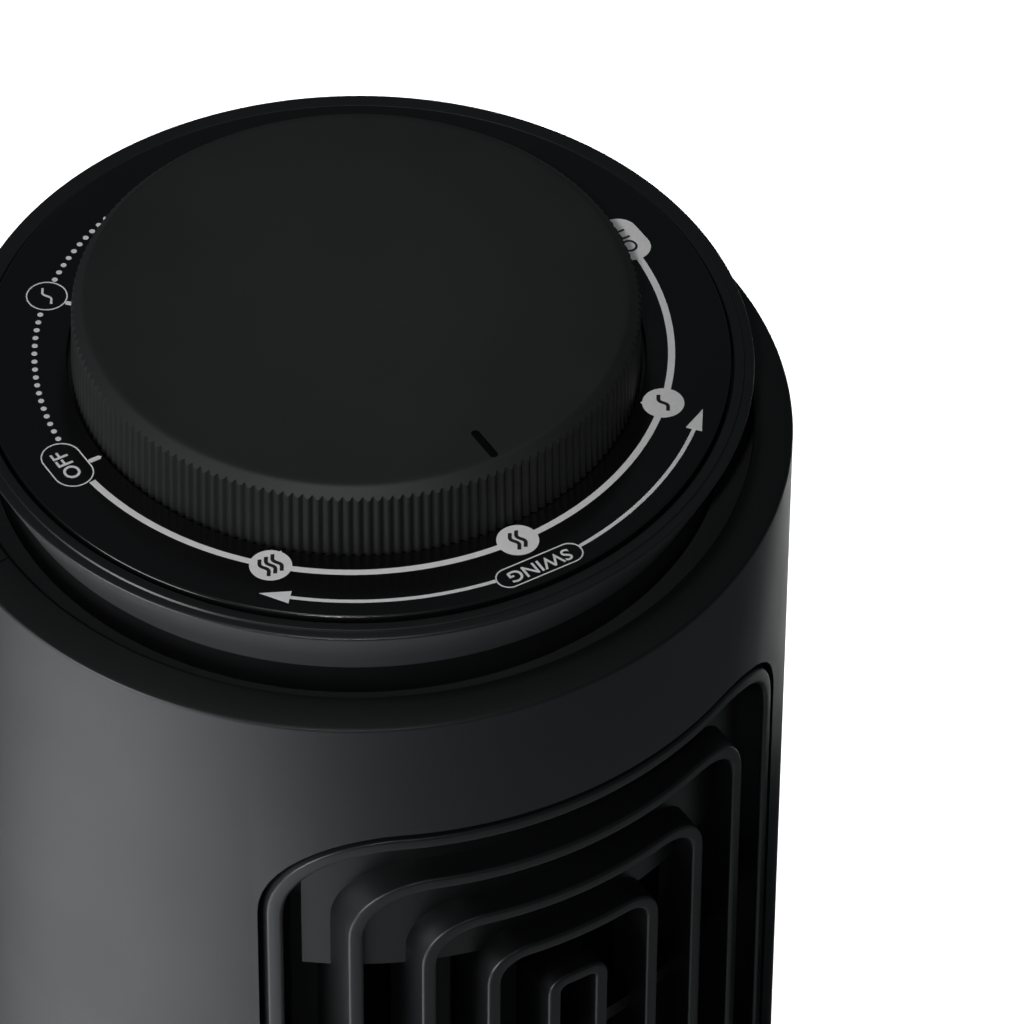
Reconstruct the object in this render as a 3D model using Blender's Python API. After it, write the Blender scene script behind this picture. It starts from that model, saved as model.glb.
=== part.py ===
"""Compact tower fan: swinging louvred tower on a round weighted base, with a large dial on top.

Metres, +Z up. The origin is the centre of the footprint on the floor, and the front faces -Y.
Each object below is one separate piece of the fan. Moving pieces are parented to an empty that
stands on their joint's axis.
"""
import math

import bmesh
import bpy
from mathutils import Matrix, Vector

# Driving dimensions
HEIGHT = 0.380
CASING_R = 0.075
CASING_WALL = 0.0025
CASING_TOP = HEIGHT - 0.029
CASING_BOTTOM = 0.0318
BASE_R = 0.095
BASE_TOP = 0.030
BASE_WALL = 0.0025
SHOULDER_R = 0.077
SKIRT_TOP = 0.014
SKIRT_BOTTOM = 0.0045
FOOT_HEIGHT = 0.0037
FIT = 0.0003
SPLIT_HALF_ANGLE = 0.15

# Swing drive: a crank behind the pivot moves a slotted lever under the tower
PIVOT_R = 0.0115
PIVOT_BORE_R = 0.0080
CRANK_OFFSET = 0.036
SWING_LIMIT = 35.0
CRANK_THROW = CRANK_OFFSET * math.sin(math.radians(SWING_LIMIT))
ROLLER_R = 0.0020
SLOT_HALF_WIDTH = 0.0042
TURNTABLE_R = 0.0705

# Grille: nested rounded frames whose fronts lie on the casing's cylinder
GRILLE_TOP = CASING_TOP - 0.0269
GRILLE_BOTTOM = 0.062
FRAME_WALL = 0.0025
FRAME_DEPTH = 0.0110
FRAME_HALF_WIDTHS = (0.0505, 0.0394, 0.0282, 0.0172, 0.0060)
FRAME_DROPS = (0.0, 0.0103, 0.0213, 0.0319, 0.0428)
FRAME_CORNERS = (0.0190, 0.0135, 0.0105, 0.0075, 0.0040)
OPENING_CLEARANCE = 0.0014
BACKING_BOTTOM = CASING_TOP - 0.0625

# Blower
BLOWER_Y = 0.006
BLOWER_R = 0.037
VANE_COUNT = 12
MOTOR_MOUNT_Z = 0.0765
BEARING_PLATE_Z = 0.2985
BLOWER_BOTTOM = 0.0868
BLOWER_TOP = 0.2935

# Top cap and dial, as heights above the casing's top edge
KNOB_R = 0.0488
KNOB_BOTTOM = CASING_TOP + 0.0144
PANEL_TOP = CASING_TOP + 0.0156
PANEL_R = 0.0640
LIP_R = 0.0680
CAP_FOOT_R = 0.0627

HARNESS_R = 0.0015
HARNESS_XY = Vector((-0.0594, 0.0159))

ROUND = 40


def material(name, colour, roughness, metallic=0.0):
    """Return a Principled material, made once per name."""
    found = bpy.data.materials.get(name)
    if found:
        return found
    new = bpy.data.materials.new(name)
    new.use_nodes = True
    shader = new.node_tree.nodes["Principled BSDF"]
    shader.inputs["Base Color"].default_value = (*colour, 1.0)
    shader.inputs["Roughness"].default_value = roughness
    shader.inputs["Metallic"].default_value = metallic
    return new


def charcoal():
    return material("charcoal_plastic", (0.050, 0.053, 0.055), 0.45)


def black():
    return material("black_plastic", (0.012, 0.012, 0.013), 0.50)


def gloss():
    return material("gloss_panel", (0.006, 0.006, 0.007), 0.15)


def inner_plastic():
    return material("inner_plastic", (0.025, 0.026, 0.028), 0.60)


def rubber():
    return material("rubber", (0.010, 0.010, 0.010), 0.85)


def steel():
    return material("steel", (0.55, 0.55, 0.56), 0.35, 1.0)


def finish(name, bm, mat, parent=None, location=(0.0, 0.0, 0.0)):
    """Weld, orient and shade a bmesh, and make it the named object."""
    bmesh.ops.remove_doubles(bm, verts=bm.verts, dist=1e-6)
    bmesh.ops.recalc_face_normals(bm, faces=bm.faces)
    mesh = bpy.data.meshes.new(name)
    bm.to_mesh(mesh)
    bm.free()
    mesh.materials.append(mat)
    mesh.shade_smooth()
    mesh.set_sharp_from_angle(angle=math.radians(35))
    piece = bpy.data.objects.new(name, mesh)
    bpy.context.collection.objects.link(piece)
    piece.location = location
    if parent:
        piece.parent = parent
    return piece


def pivot(name, location):
    """An empty on a joint's axis, which the moving pieces hang from."""
    empty = bpy.data.objects.new(name, None)
    bpy.context.collection.objects.link(empty)
    empty.location = location
    return empty


def add_turned(bm, profile, steps, start=0.0, sweep=360.0, centre=(0.0, 0.0)):
    """Spin a profile of (radius, height) points about Z. A part turn gets flat ends."""
    axis_point = Vector((centre[0], centre[1], 0.0))
    turn = Matrix.Rotation(math.radians(start), 4, "Z")
    verts = [bm.verts.new(axis_point + turn @ Vector((r, 0.0, z))) for r, z in profile]
    ring = list(zip(verts, verts[1:]))
    if profile[0][0] > 0.0:
        ring.append((verts[-1], verts[0]))
    edges = [bm.edges.new(pair) for pair in ring]
    if sweep < 360.0:
        bm.faces.new(verts)
    made = bmesh.ops.spin(bm, geom=verts + edges, cent=axis_point, axis=(0.0, 0.0, 1.0),
                          angle=math.radians(sweep), steps=steps)
    if sweep < 360.0:
        last = {v for v in made["geom_last"] if isinstance(v, bmesh.types.BMVert)}
        ends = [e for e in bm.edges if e.is_boundary and set(e.verts) <= last]
        bmesh.ops.holes_fill(bm, edges=ends, sides=0)


def turned(name, profile, mat, parent=None, location=(0.0, 0.0, 0.0), steps=ROUND, **part_turn):
    bm = bmesh.new()
    add_turned(bm, profile, steps, **part_turn)
    return finish(name, bm, mat, parent, location)


def add_prism(bm, outline, direction, to_point):
    """Extrude a closed outline, placed by to_point(a, b), along a direction."""
    base = bm.faces.new([bm.verts.new(to_point(a, b)) for a, b in outline])
    top = bmesh.ops.extrude_face_region(bm, geom=[base], use_keep_orig=True)
    moved = [v for v in top["geom"] if isinstance(v, bmesh.types.BMVert)]
    bmesh.ops.translate(bm, verts=moved, vec=direction)


def add_post(bm, x, y, bottom, top, radius, steps=12):
    """A vertical cylinder."""
    circle = [(x + radius * math.cos(2 * math.pi * i / steps),
               y + radius * math.sin(2 * math.pi * i / steps)) for i in range(steps)]
    add_prism(bm, circle, (0.0, 0.0, top - bottom), lambda a, b: (a, b, bottom))


def add_radial_box(bm, angle, inner, outer, half_width, bottom, top):
    """A box that points away from the Z axis, at an angle in degrees."""
    size = Matrix.Diagonal((outer - inner, 2 * half_width, top - bottom, 1.0))
    middle = Matrix.Translation(((inner + outer) / 2, 0.0, (bottom + top) / 2))
    turn = Matrix.Rotation(math.radians(angle), 4, "Z")
    bmesh.ops.create_cube(bm, size=1.0, matrix=turn @ middle @ size)


def apply_boolean(target, bm, operation):
    """Cut, or join, the shape in bm with the target. The shape itself stays a guide."""
    guide = finish(target.name + "_" + operation.lower() + str(len(target.modifiers)), bm, black())
    guide.display_type = "WIRE"
    guide.hide_render = True
    modifier = target.modifiers.new(guide.name, "BOOLEAN")
    modifier.object = guide
    modifier.operation = operation
    modifier.solver = "EXACT"


def arc(centre, radii, start, end, steps):
    """Points along an elliptic arc, angles in degrees."""
    points = []
    for i in range(steps + 1):
        a = math.radians(start + (end - start) * i / steps)
        points.append((centre[0] + radii[0] * math.cos(a), centre[1] + radii[1] * math.sin(a)))
    return points


def around(radius, angle):
    return (radius * math.cos(math.radians(angle)), radius * math.sin(math.radians(angle)))


def link_outline(length, radius, steps=8):
    """A bar with round ends, from the origin along +Y."""
    return (arc((0.0, length), (radius, radius), 0, 180, steps)
            + arc((0.0, 0.0), (radius, radius), 180, 360, steps))


# Base

FOOT_ANGLES = (45, 135, 225, 315)
FOOT_CIRCLE = 0.078
BASE_SCREW_ANGLES = (20, 160, 200, 340)
BASE_SCREW_CIRCLE = 0.0835
PLATE_BOTTOM = FOOT_HEIGHT + FIT
PLATE_TOP = PLATE_BOTTOM + 0.0025
COLLAR_BOTTOM = 0.0205
GLAND_Z = 0.0122


def make_base_shell():
    outer = arc((SHOULDER_R, SKIRT_TOP), (BASE_R - SHOULDER_R, BASE_TOP - SKIRT_TOP), 0, 90, 5)
    inner_r = BASE_R - BASE_WALL
    inner = arc((SHOULDER_R - BASE_WALL, SKIRT_TOP - 0.001),
                (inner_r - SHOULDER_R + BASE_WALL, BASE_TOP - BASE_WALL - SKIRT_TOP + 0.001), 90, 0, 4)
    bore_r = PIVOT_R + FIT
    profile = ([(BASE_R, SKIRT_BOTTOM)] + outer + [(bore_r, BASE_TOP), (bore_r, COLLAR_BOTTOM),
               (bore_r + 0.0025, COLLAR_BOTTOM), (bore_r + 0.0025, BASE_TOP - BASE_WALL)]
               + inner + [(inner_r, SKIRT_BOTTOM)])
    shell = turned("base_shell", profile, charcoal())
    bosses = bmesh.new()
    for angle in BASE_SCREW_ANGLES:
        add_post(bosses, *around(BASE_SCREW_CIRCLE, angle), PLATE_TOP + 0.0006, 0.0262, 0.0034)
    apply_boolean(shell, bosses, "UNION")
    holes = bmesh.new()
    add_post(holes, 0.0, CRANK_OFFSET, BASE_TOP - 0.005, BASE_TOP + 0.005, 0.0050)
    for angle in BASE_SCREW_ANGLES:
        add_post(holes, *around(BASE_SCREW_CIRCLE, angle), SKIRT_BOTTOM - 0.001, 0.0155, 0.0017)
    gland = [(0.0041 * math.cos(math.pi * i / 6), GLAND_Z + 0.0041 * math.sin(math.pi * i / 6))
             for i in range(12)]
    add_prism(holes, gland, (0.0, 0.02, 0.0), lambda a, b: (a, BASE_R - 0.01, b))
    apply_boolean(shell, holes, "DIFFERENCE")


def make_base_plate():
    plate_r = BASE_R - BASE_WALL - 0.0007
    profile = [(0.0, PLATE_TOP), (plate_r, PLATE_TOP), (plate_r, PLATE_BOTTOM), (0.0, PLATE_BOTTOM)]
    plate = turned("base_plate", profile, inner_plastic())
    holes = bmesh.new()
    for angle in FOOT_ANGLES:
        add_post(holes, *around(FOOT_CIRCLE, angle), PLATE_BOTTOM - 0.002, PLATE_TOP + 0.002, 0.0034)
    for angle in BASE_SCREW_ANGLES:
        add_post(holes, *around(BASE_SCREW_CIRCLE, angle), PLATE_BOTTOM - 0.002, PLATE_TOP + 0.002, 0.0017)
    apply_boolean(plate, holes, "DIFFERENCE")


def make_feet_and_base_screws():
    foot = [(0.0, 0.0), (0.0070, 0.0), (0.0080, 0.0010), (0.0080, FOOT_HEIGHT), (0.0030, FOOT_HEIGHT),
            (0.0030, PLATE_TOP + 0.0015), (0.0, PLATE_TOP + 0.0015)]
    screw = [(0.0, 0.0022), (0.0024, 0.0022), (0.0031, 0.0028), (0.0031, FOOT_HEIGHT),
             (0.0013, FOOT_HEIGHT), (0.0013, 0.0140), (0.0, 0.0145)]
    for number, angle in enumerate(FOOT_ANGLES, 1):
        place = (*around(FOOT_CIRCLE, angle), 0.0)
        turned(f"rubber_foot_{number}", foot, rubber(), location=place, steps=16)
    for number, angle in enumerate(BASE_SCREW_ANGLES, 1):
        place = (*around(BASE_SCREW_CIRCLE, angle), 0.0)
        turned(f"base_screw_{number}", screw, steel(), location=place, steps=10)


def make_base_inner_parts():
    low = PLATE_TOP + FIT
    ballast = [(0.0735, low), (0.0735, low + 0.005), (0.0560, low + 0.005), (0.0560, low)]
    turned("base_ballast", ballast, steel())
    motor_top = BASE_TOP - BASE_WALL - FIT
    body = [(0.0, motor_top), (0.0165, motor_top), (0.0180, motor_top - 0.0015), (0.0180, 0.0110),
            (0.0165, 0.0095), (0.0, 0.0095)]
    turned("swing_motor", body, steel(), location=(0.0, CRANK_OFFSET, 0.0), steps=24)
    ring = [(0.0690, BASE_TOP + FIT), (0.0690, 0.0325), (0.0650, 0.0325), (0.0650, BASE_TOP + FIT)]
    turned("turntable_slide_ring", ring, material("slide_plastic", (0.6, 0.6, 0.58), 0.4))
    flange = BASE_WALL + 0.0014
    sleeve = [(0.0019, 0.0002), (0.0019, 0.0060), (0.0030, 0.0060), (0.0048, flange + 0.0018),
              (0.0048, flange), (0.0038, flange), (0.0038, 0.0002)]
    gland = turned("cord_gland", sleeve, rubber(), location=(0.0, BASE_R, GLAND_Z), steps=12)
    gland.rotation_euler = (math.radians(90), 0.0, 0.0)


# Swing drive

CRANK_BOTTOM = BASE_TOP + 0.0012
CRANK_TOP = CRANK_BOTTOM + 0.0025
LEVER_BOTTOM = CRANK_TOP + 0.0009
LEVER_TOP = LEVER_BOTTOM + 0.0030
TURNTABLE_UNDER = LEVER_TOP + FIT
TURNTABLE_TOP = TURNTABLE_UNDER + 0.0030


def make_crank(crank):
    turned("crank_shaft", [(0.0, CRANK_BOTTOM - FIT), (0.0030, CRANK_BOTTOM - FIT),
                           (0.0030, BASE_TOP - BASE_WALL), (0.0, BASE_TOP - BASE_WALL)],
           steel(), parent=crank, steps=12)
    bm = bmesh.new()
    add_prism(bm, link_outline(CRANK_THROW, 0.0042), (0.0, 0.0, CRANK_TOP - CRANK_BOTTOM),
              lambda a, b: (a, b, CRANK_BOTTOM))
    finish("crank_arm", bm, inner_plastic(), crank)
    turned("crank_roller", [(0.0, LEVER_TOP - FIT), (ROLLER_R, LEVER_TOP - FIT),
                            (ROLLER_R, CRANK_TOP + FIT), (0.0, CRANK_TOP + FIT)],
           steel(), parent=crank, location=(0.0, CRANK_THROW, 0.0), steps=12)


def make_turntable(tower):
    bore = PIVOT_BORE_R
    rim_bottom = 0.0328
    profile = [(PIVOT_R, TURNTABLE_UNDER), (PIVOT_R, 0.0172), (bore, 0.0172), (bore, TURNTABLE_TOP),
               (TURNTABLE_R, TURNTABLE_TOP), (TURNTABLE_R, rim_bottom), (0.0645, rim_bottom),
               (0.0645, TURNTABLE_UNDER)]
    turned("turntable", profile, inner_plastic(), parent=tower)
    turned("swing_retainer_ring", [(0.0155, 0.0202), (0.0155, 0.0186), (PIVOT_R + FIT, 0.0186),
                                   (PIVOT_R + FIT, 0.0202)], steel(), parent=tower, steps=24)


def make_swing_lever(tower):
    slot_end = CRANK_OFFSET + CRANK_THROW + ROLLER_R + 0.0006
    slot_start = 0.0305
    hub_r = PIVOT_R + 0.0030
    bm = bmesh.new()
    side = SLOT_HALF_WIDTH + 0.0028
    tip = 0.0640
    outline = arc((0.0, 0.0), (hub_r, hub_r), 150, 390, 14) + [(side, 0.018), (side, tip - 0.002),
              (side - 0.002, tip), (-side + 0.002, tip), (-side, tip - 0.002), (-side, 0.018)]
    add_prism(bm, outline, (0.0, 0.0, LEVER_TOP - LEVER_BOTTOM), lambda a, b: (a, b, LEVER_BOTTOM))
    lever = finish("swing_lever", bm, inner_plastic(), tower)
    cut = bmesh.new()
    slot = [(-SLOT_HALF_WIDTH, slot_start), (SLOT_HALF_WIDTH, slot_start), (SLOT_HALF_WIDTH, slot_end),
            (-SLOT_HALF_WIDTH, slot_end)]
    add_prism(cut, slot, (0.0, 0.0, 0.008), lambda a, b: (a, b, LEVER_BOTTOM - 0.002))
    add_post(cut, 0.0, 0.0, LEVER_BOTTOM - 0.002, LEVER_TOP + 0.002, PIVOT_R + FIT, ROUND)
    apply_boolean(lever, cut, "DIFFERENCE")


# Casing

CASING_SCREW_SPOTS = ((14, 0.048), (166, 0.048), (14, 0.332), (166, 0.332))


def casing_profile():
    """Wall and inward top ring, which rises a little towards its inner edge."""
    inner_r = CASING_R - CASING_WALL
    return [(CASING_R, CASING_BOTTOM), (CASING_R, CASING_TOP - 0.0006), (CASING_R - 0.0006, CASING_TOP),
            (0.0682, CASING_TOP + 0.0010), (0.0682, CASING_TOP - 0.0012), (inner_r, CASING_TOP - 0.0022),
            (inner_r, CASING_BOTTOM)]


def rounded_outline(half_width, top, bottom, radius, rail_steps, corner_steps=3):
    """Anticlockwise rounded rectangle in (x, z), with its level sides cut into steps."""
    edge = half_width - radius
    rail = [edge - 2 * edge * i / rail_steps for i in range(1, rail_steps)]
    return (arc((edge, top - radius), (radius, radius), 0, 90, corner_steps) + [(x, top) for x in rail]
            + arc((-edge, top - radius), (radius, radius), 90, 180, corner_steps)
            + arc((-edge, bottom + radius), (radius, radius), 180, 270, corner_steps)
            + [(-x, bottom) for x in rail]
            + arc((edge, bottom + radius), (radius, radius), 270, 360, corner_steps))


def make_front_casing(tower):
    shell = turned("front_casing", casing_profile(), charcoal(), parent=tower, steps=ROUND // 2,
                   start=180 + SPLIT_HALF_ANGLE, sweep=180 - 2 * SPLIT_HALF_ANGLE)
    gap = OPENING_CLEARANCE
    opening = rounded_outline(FRAME_HALF_WIDTHS[0] + gap, GRILLE_TOP + gap, GRILLE_BOTTOM - gap,
                              FRAME_CORNERS[0] + gap, 2)
    cut = bmesh.new()
    add_prism(cut, opening, (0.0, 0.06, 0.0), lambda a, b: (a, -CASING_R - 0.01, b))
    apply_boolean(shell, cut, "DIFFERENCE")


def make_rear_casing(tower):
    shell = turned("rear_casing", casing_profile(), charcoal(), parent=tower, steps=ROUND // 2,
                   start=SPLIT_HALF_ANGLE, sweep=180 - 2 * SPLIT_HALF_ANGLE)
    slot_rows = 3
    slot_bottom = 0.088
    slot_top = 0.296
    row_pitch = (slot_top - slot_bottom) / slot_rows
    cut = bmesh.new()
    for row in range(slot_rows):
        low = slot_bottom + row * row_pitch + 0.004
        for step in range(-5, 6):
            add_radial_box(cut, 90 + 9.0 * step, CASING_R - 0.006, CASING_R + 0.005, 0.0024, low,
                           low + row_pitch - 0.008)
    for angle, height in CASING_SCREW_SPOTS:
        side = Matrix.Rotation(math.radians(angle), 4, "Z") @ Vector((CASING_R, 0.0, 0.0))
        turn = Matrix.Rotation(math.radians(angle), 4, "Z") @ Matrix.Rotation(math.radians(90), 4, "Y")
        bmesh.ops.create_cone(cut, cap_ends=True, segments=10, radius1=0.0036, radius2=0.0036, depth=0.012,
                              matrix=Matrix.Translation((side.x, side.y, height)) @ turn)
    apply_boolean(shell, cut, "DIFFERENCE")


def make_casing_screws(tower):
    head = CASING_R - 0.0008
    profile = [(0.0, head), (0.0024, head), (0.0031, head - 0.0007), (0.0031, head - 0.0020),
               (0.0014, head - 0.0022), (0.0014, head - 0.0090), (0.0, head - 0.0100)]
    for number, (angle, height) in enumerate(CASING_SCREW_SPOTS, 1):
        screw = turned(f"casing_screw_{number}", profile, steel(), parent=tower, location=(0.0, 0.0, height),
                       steps=10)
        screw.rotation_euler = (0.0, math.radians(90), math.radians(angle))


def add_grille_frame(bm, number):
    """One rounded frame: fronts on the cylinder, walls straight back."""
    rail_steps = max(2, 8 - 2 * number)
    rise = FRAME_DROPS[number]
    half = FRAME_HALF_WIDTHS[number]
    sizes = [(0.0, FRAME_CORNERS[number]), (FRAME_WALL, FRAME_CORNERS[number] - FRAME_WALL)]
    loops = []
    for inset, radius in sizes:
        outline = rounded_outline(half - inset, GRILLE_TOP - rise - inset, GRILLE_BOTTOM + rise + inset,
                                  radius, rail_steps)
        fronts = [Vector((x, -math.sqrt(CASING_R ** 2 - x ** 2), z)) for x, z in outline]
        loops.append([bm.verts.new(p) for p in fronts])
        loops.append([bm.verts.new(p + Vector((0.0, FRAME_DEPTH, 0.0))) for p in fronts])
    outer_front, outer_back, inner_front, inner_back = loops
    for a, b in ((outer_front, inner_front), (inner_front, inner_back), (inner_back, outer_back),
                 (outer_back, outer_front)):
        for i in range(len(a)):
            j = (i + 1) % len(a)
            bm.faces.new((a[i], a[j], b[j], b[i]))


def make_front_grille(tower):
    bm = bmesh.new()
    for number in range(len(FRAME_HALF_WIDTHS)):
        add_grille_frame(bm, number)
    grille = finish("front_grille", bm, black(), tower)
    bars = bmesh.new()
    bar_count = 5
    first = GRILLE_BOTTOM + 0.030
    last = BACKING_BOTTOM - 0.030
    for i in range(bar_count):
        low = first + (last - first) * i / (bar_count - 1) - 0.0015
        section = [(0.0635, low), (0.0690, low), (0.0690, low + 0.003), (0.0635, low + 0.003)]
        add_turned(bars, section, 10, start=270 - 46, sweep=92)
    apply_boolean(grille, bars, "UNION")
    backing = bmesh.new()
    top = GRILLE_TOP - 0.0012
    section = [(0.0681, BACKING_BOTTOM), (0.0696, BACKING_BOTTOM), (0.0696, top), (0.0681, top)]
    add_turned(backing, section, 10, start=270 - 38.5, sweep=77)
    apply_boolean(grille, backing, "UNION")


# Blower and its mounts


def make_mounting_plate(name, tower, bottom, hole_r):
    """A round plate across the tower, with a hole on the blower's axis and one for the wires."""
    plate_r = 0.0628
    profile = [(0.0, bottom + 0.0025), (plate_r, bottom + 0.0025), (plate_r, bottom), (0.0, bottom)]
    plate = turned(name, profile, inner_plastic(), parent=tower)
    cut = bmesh.new()
    add_post(cut, 0.0, BLOWER_Y, bottom - 0.002, bottom + 0.005, hole_r, 16)
    add_post(cut, HARNESS_XY.x, HARNESS_XY.y, bottom - 0.002, bottom + 0.005, 0.0030)
    apply_boolean(plate, cut, "DIFFERENCE")


def make_blower_mounts(tower):
    make_mounting_plate("motor_mount", tower, MOTOR_MOUNT_Z, 0.0075)
    make_mounting_plate("bearing_plate", tower, BEARING_PLATE_Z, 0.0062)
    bearing_z = BEARING_PLATE_Z
    motor_top = MOTOR_MOUNT_Z - FIT
    motor = [(0.0, motor_top), (0.0255, motor_top), (0.0290, motor_top - 0.0035), (0.0290, 0.0535),
             (0.0255, 0.0500), (0.0, 0.0500)]
    turned("fan_motor", motor, steel(), parent=tower, location=(0.0, BLOWER_Y, 0.0), steps=24)
    flange_z = bearing_z + 0.0025 + FIT
    bush = [(0.0034, bearing_z - 0.0010), (0.0034, bearing_z + 0.0055), (0.0095, bearing_z + 0.0050),
            (0.0095, flange_z), (0.0058, flange_z), (0.0058, bearing_z - 0.0010)]
    turned("bearing_bush", bush, rubber(), parent=tower, location=(0.0, BLOWER_Y, 0.0), steps=16)
    bm = bmesh.new()
    bmesh.ops.create_cube(bm, size=1.0, matrix=Matrix.Translation((0.049, 0.0, 0.0530))
                          @ Matrix.Diagonal((0.014, 0.030, 0.020, 1.0)))
    finish("run_capacitor", bm, material("capacitor_case", (0.75, 0.75, 0.72), 0.5), tower)


def make_scroll(tower):
    bottom = MOTOR_MOUNT_Z + 0.0025 + FIT
    top = BEARING_PLATE_Z - FIT
    thickness = 0.0015
    inside = []
    outside = []
    steps = 12
    for i in range(steps + 1):
        angle = 78 - 113 * i / steps
        radius = BLOWER_R + 0.0030 + 0.0170 * i / steps
        x, y = around(radius, angle)
        inside.append((x, BLOWER_Y + y))
        x, y = around(radius + thickness, angle)
        outside.append((x, BLOWER_Y + y))
    inside.append((inside[-1][0] + 0.0005, -0.0400))
    outside.append((outside[-1][0] + 0.0005, -0.0400))
    bm = bmesh.new()
    add_prism(bm, inside + outside[::-1], (0.0, 0.0, top - bottom), lambda a, b: (a, b, bottom))
    finish("scroll_wall", bm, inner_plastic(), tower)
    bm = bmesh.new()
    tongue = [(-0.0480, -0.0400), (-0.0465, -0.0400), (-0.0400, -0.0120), (-0.0430, -0.0060),
              (-0.0445, -0.0065), (-0.0416, -0.0122)]
    add_prism(bm, tongue, (0.0, 0.0, top - bottom), lambda a, b: (a, b, bottom))
    finish("scroll_tongue", bm, inner_plastic(), tower)


def make_blower(blower):
    """Slotted drum between two end plates. The lower plate carries the motor's shaft."""
    inner_r = BLOWER_R - 0.007
    drum = turned("blower_wheel", [(BLOWER_R, BLOWER_BOTTOM), (BLOWER_R, BLOWER_TOP), (inner_r, BLOWER_TOP),
                                   (inner_r, BLOWER_BOTTOM)], inner_plastic(), parent=blower,
                  steps=2 * VANE_COUNT)
    rows = 3
    row_pitch = (BLOWER_TOP - BLOWER_BOTTOM - 0.003) / rows
    cut = bmesh.new()
    for row in range(rows):
        low = BLOWER_BOTTOM + 0.003 + row * row_pitch
        for vane in range(VANE_COUNT):
            add_radial_box(cut, 360 * (vane + 0.25) / VANE_COUNT, inner_r - 0.004, BLOWER_R + 0.004, 0.0045,
                           low, low + row_pitch - 0.003)
    for vert in cut.verts:
        vert.co.y += BLOWER_Y
    apply_boolean(drum, cut, "DIFFERENCE")
    low = BLOWER_BOTTOM - FIT
    boss_bottom = low - 0.0050
    lower = [(0.0, low), (0.0355, low), (0.0355, low - 0.0025), (0.0060, low - 0.0025),
             (0.0060, boss_bottom), (0.0, boss_bottom)]
    turned("blower_lower_plate", lower, inner_plastic(), parent=blower, steps=24)
    shaft_top = boss_bottom - FIT
    shaft = [(0.0, shaft_top), (0.0025, shaft_top), (0.0025, MOTOR_MOUNT_Z), (0.0, MOTOR_MOUNT_Z)]
    turned("blower_shaft", shaft, steel(), parent=blower, steps=12)
    high = BLOWER_TOP + FIT
    upper = [(0.0, BEARING_PLATE_Z + 0.0070), (0.0030, BEARING_PLATE_Z + 0.0065), (0.0030, high + 0.0022),
             (0.0355, high + 0.0022), (0.0355, high), (0.0, high)]
    turned("blower_upper_plate", upper, inner_plastic(), parent=blower, steps=24)


# Top cap and dial


def make_top_cap(tower):
    top = CASING_TOP
    seat = PANEL_TOP - 0.0036 - FIT
    profile = [(0.0605, top - 0.0060), (0.0625, top - 0.0060), (CAP_FOOT_R, top + 0.0024),
               (LIP_R - 0.0003, top + 0.0138), (LIP_R, top + 0.0143), (0.0659, top + 0.0147),
               (0.0644, top + 0.0146), (0.0644, seat), (0.0560, seat), (0.0560, seat - 0.0020),
               (0.0632, seat - 0.0020), (0.0605, top + 0.0024)]
    turned("top_cap", profile, charcoal(), parent=tower, steps=ROUND)
    turned("neck_ring", [(0.0720, top - 0.0055), (0.0720, top - 0.0030), (0.0631, top - 0.0030),
                         (0.0631, top - 0.0055)], material("recess_black", (0.004, 0.004, 0.004), 0.9),
           parent=tower)


def make_dial_panel(tower):
    under = PANEL_TOP - 0.0036
    moat = KNOB_BOTTOM - 0.0005
    profile = [(0.0050, under), (PANEL_R, under), (PANEL_R, PANEL_TOP - 0.0009),
               (PANEL_R - 0.0012, PANEL_TOP), (KNOB_R + 0.0008, PANEL_TOP), (KNOB_R + 0.0006, moat),
               (0.0050, moat)]
    turned("dial_panel", profile, gloss(), parent=tower, steps=ROUND)
    body_top = under - FIT
    switch = [(0.0, body_top), (0.0100, body_top), (0.0100, body_top - 0.0020), (0.0180, body_top - 0.0020),
              (0.0180, body_top - 0.0200), (0.0, body_top - 0.0200)]
    turned("rotary_switch", switch, inner_plastic(), parent=tower, steps=8)


def make_dial(dial):
    under = PANEL_TOP - 0.0036
    shaft_top = HEIGHT - 0.0055
    turned("switch_shaft", [(0.0, under), (0.0030, under), (0.0030, shaft_top), (0.0, shaft_top)],
           steel(), parent=dial, steps=12)
    boss_bottom = KNOB_BOTTOM + 0.0012
    inner_r = KNOB_R - 0.0030
    profile = [(0.0, HEIGHT), (0.0465, HEIGHT), (KNOB_R - 0.0004, HEIGHT - 0.0019), (KNOB_R, KNOB_BOTTOM),
               (inner_r, KNOB_BOTTOM), (inner_r, HEIGHT - 0.0035), (0.0075, HEIGHT - 0.0035),
               (0.0075, boss_bottom), (0.0034, boss_bottom), (0.0034, shaft_top + FIT), (0.0, shaft_top + FIT)]
    knob = turned("dial_knob", profile, black(), parent=dial, steps=ROUND)
    groove = bmesh.new()
    bmesh.ops.create_cube(groove, size=1.0, matrix=Matrix.Translation((0.0, -0.0424, HEIGHT))
                          @ Matrix.Diagonal((0.0015, 0.0074, 0.0010, 1.0)))
    apply_boolean(knob, groove, "DIFFERENCE")


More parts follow.
